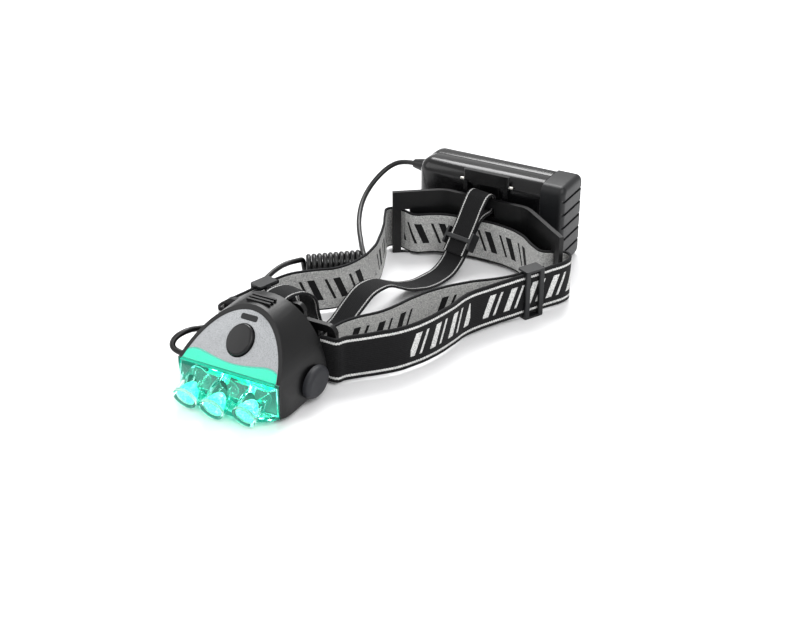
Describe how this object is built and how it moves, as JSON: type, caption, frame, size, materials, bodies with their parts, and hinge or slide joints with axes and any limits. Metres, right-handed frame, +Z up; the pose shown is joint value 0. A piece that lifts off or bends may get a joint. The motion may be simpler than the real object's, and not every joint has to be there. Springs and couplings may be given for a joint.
{
  "type": "headlamp",
  "caption": "Headlamp with a tilting arch lamp head, elastic headband and overhead strap, slide buckles, curved rear cradle, battery pack and curly cable.",
  "frame": {"origin": "centre of the underside of the whole object without its cable", "axes": "-Y is where the lamp faces, +Y runs back along the headband to the battery pack, +Z up"},
  "size_m": [0.1515, 0.2566, 0.0515],
  "materials": {
    "satin_black_plastic": "moulded satin",
    "gloss_black_plastic": "moulded gloss",
    "dark_grey_plastic": "moulded fine texture",
    "soft_grey_rubber": "soft moulded",
    "black_rubber": "soft moulded",
    "cable_jacket": "extruded satin",
    "silver_paint": "metallic paint",
    "clear_lens": "polished",
    "led_glow": "lit",
    "lit_tray": "lit moulded reflector",
    "circuit_board": "solder mask",
    "steel": "plated",
    "cell_wrap": "printed sleeve",
    "foam": "knit faced foam",
    "headband_webbing": "woven elastic with light stripes",
    "strap_webbing": "woven elastic with light edges"
  },
  "bodies": {
    "root": {"battery_case_back": "gloss_black_plastic", "battery_case_front": "gloss_black_plastic", "cable_curl": "cable_jacket", "cable_front_lead": "cable_jacket", "cable_rear_lead": "cable_jacket", "case_screws": "steel", "cell_tray": "dark_grey_plastic", "cells": "cell_wrap", "contact_springs": "steel", "cradle_pad": "foam", "door_seal": "black_rubber", "driver_board": "circuit_board", "forehead_pad": "foam", "head_bracket": "satin_black_plastic", "headband_far": "headband_webbing", "headband_far_tail": "headband_webbing", "headband_near_inner": "headband_webbing", "headband_near_outer": "headband_webbing", "headband_rear": "headband_webbing", "hinge_pin": "steel", "latch_pin": "steel", "pack_cradle": "satin_black_plastic", "spring_plate": "dark_grey_plastic", "strain_relief": "black_rubber", "top_strap": "strap_webbing"},
    "lamp": {"lamp_shell": "satin_black_plastic", "face_cover": "silver_paint", "lens_gasket": "black_rubber", "lens_window": "clear_lens", "lens_barrels": "clear_lens", "led_board": "circuit_board", "leds": "led_glow", "reflector_tray": "lit_tray", "tact_switch": "steel", "switch_board": "circuit_board", "side_pad_left": "soft_grey_rubber", "side_pad_right": "soft_grey_rubber", "cable_gland": "black_rubber", "cable_loop": "cable_jacket"},
    "button": {"power_button": "black_rubber"},
    "near_slide": {"near_buckle": "dark_grey_plastic"},
    "far_slide": {"far_buckle": "dark_grey_plastic"},
    "top_slide": {"top_buckle": "dark_grey_plastic"},
    "door": {"battery_door": "dark_grey_plastic", "contact_plate": "steel"},
    "latch": {"pack_latch": "gloss_black_plastic"}
  },
  "joints": [
    {"name": "head_tilt", "type": "hinge", "parent": "root", "child": "lamp", "pos_m": [-0.032, -0.0761, 0.007], "axis": [1, 0, 0], "range_deg": [0, 45]},
    {"name": "button_press", "type": "slide", "parent": "lamp", "child": "button", "axis": [0, 0.7071, -0.7071], "range_m": [0, 0.001], "stiffness_N_per_m": 800},
    {"name": "near_buckle_slide", "type": "slide", "parent": "root", "child": "near_slide", "axis": [0.4657, 0.8849, 0], "range_m": [-0.0025, 0.0025]},
    {"name": "far_buckle_slide", "type": "slide", "parent": "root", "child": "far_slide", "axis": [-0.2726, -0.9621, 0], "range_m": [-0.0025, 0.0025]},
    {"name": "top_buckle_slide", "type": "slide", "parent": "root", "child": "top_slide", "axis": [0.1249, 0.5968, 0.7926], "range_m": [-0.002, 0.002]},
    {"name": "door_pull", "type": "slide", "parent": "root", "child": "door", "axis": [1, 0, 0], "range_m": [0, 0.03]},
    {"name": "latch_press", "type": "hinge", "parent": "root", "child": "latch", "pos_m": [0.002, 0.0975, 0.045], "axis": [1, 0, 0], "range_deg": [0, 7], "stiffness_Nm_per_rad": 0.02}
  ]
}
